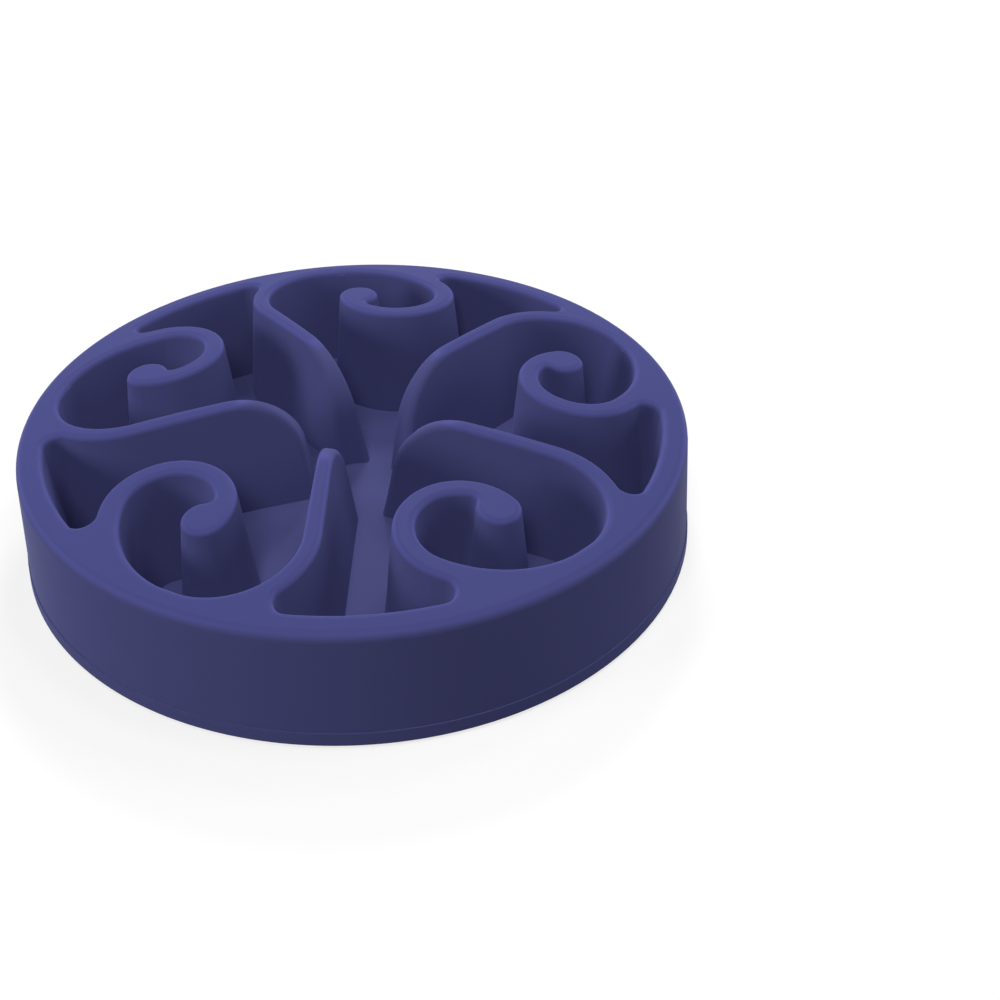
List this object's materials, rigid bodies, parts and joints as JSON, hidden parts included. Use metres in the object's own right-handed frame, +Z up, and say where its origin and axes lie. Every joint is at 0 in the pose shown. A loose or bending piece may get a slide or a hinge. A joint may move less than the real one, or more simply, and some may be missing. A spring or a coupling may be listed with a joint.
{
  "type": "slow feeder bowl",
  "caption": "Round low pet bowl with tall scroll ridges that curl in from the rim to slow eating, closed by a snap-in base cover on rubber pads.",
  "frame": {"origin": "on the surface that the bowl stands on, under the centre of the round base", "axes": "+Z up out of the bowl, +Y towards the tip of one scroll, -Y the side nearest the viewer in the picture"},
  "size_m": [0.281, 0.281, 0.0628],
  "materials": {
    "purple_plastic": "matte moulded, fine even grain",
    "grey_rubber": "matte moulded"
  },
  "bodies": {
    "root": {"bowl_shell": "purple_plastic", "base_cover": "purple_plastic", "rubber_pad_1": "grey_rubber", "rubber_pad_2": "grey_rubber", "rubber_pad_3": "grey_rubber", "rubber_pad_4": "grey_rubber", "rubber_pad_5": "grey_rubber"}
  },
  "joints": []
}
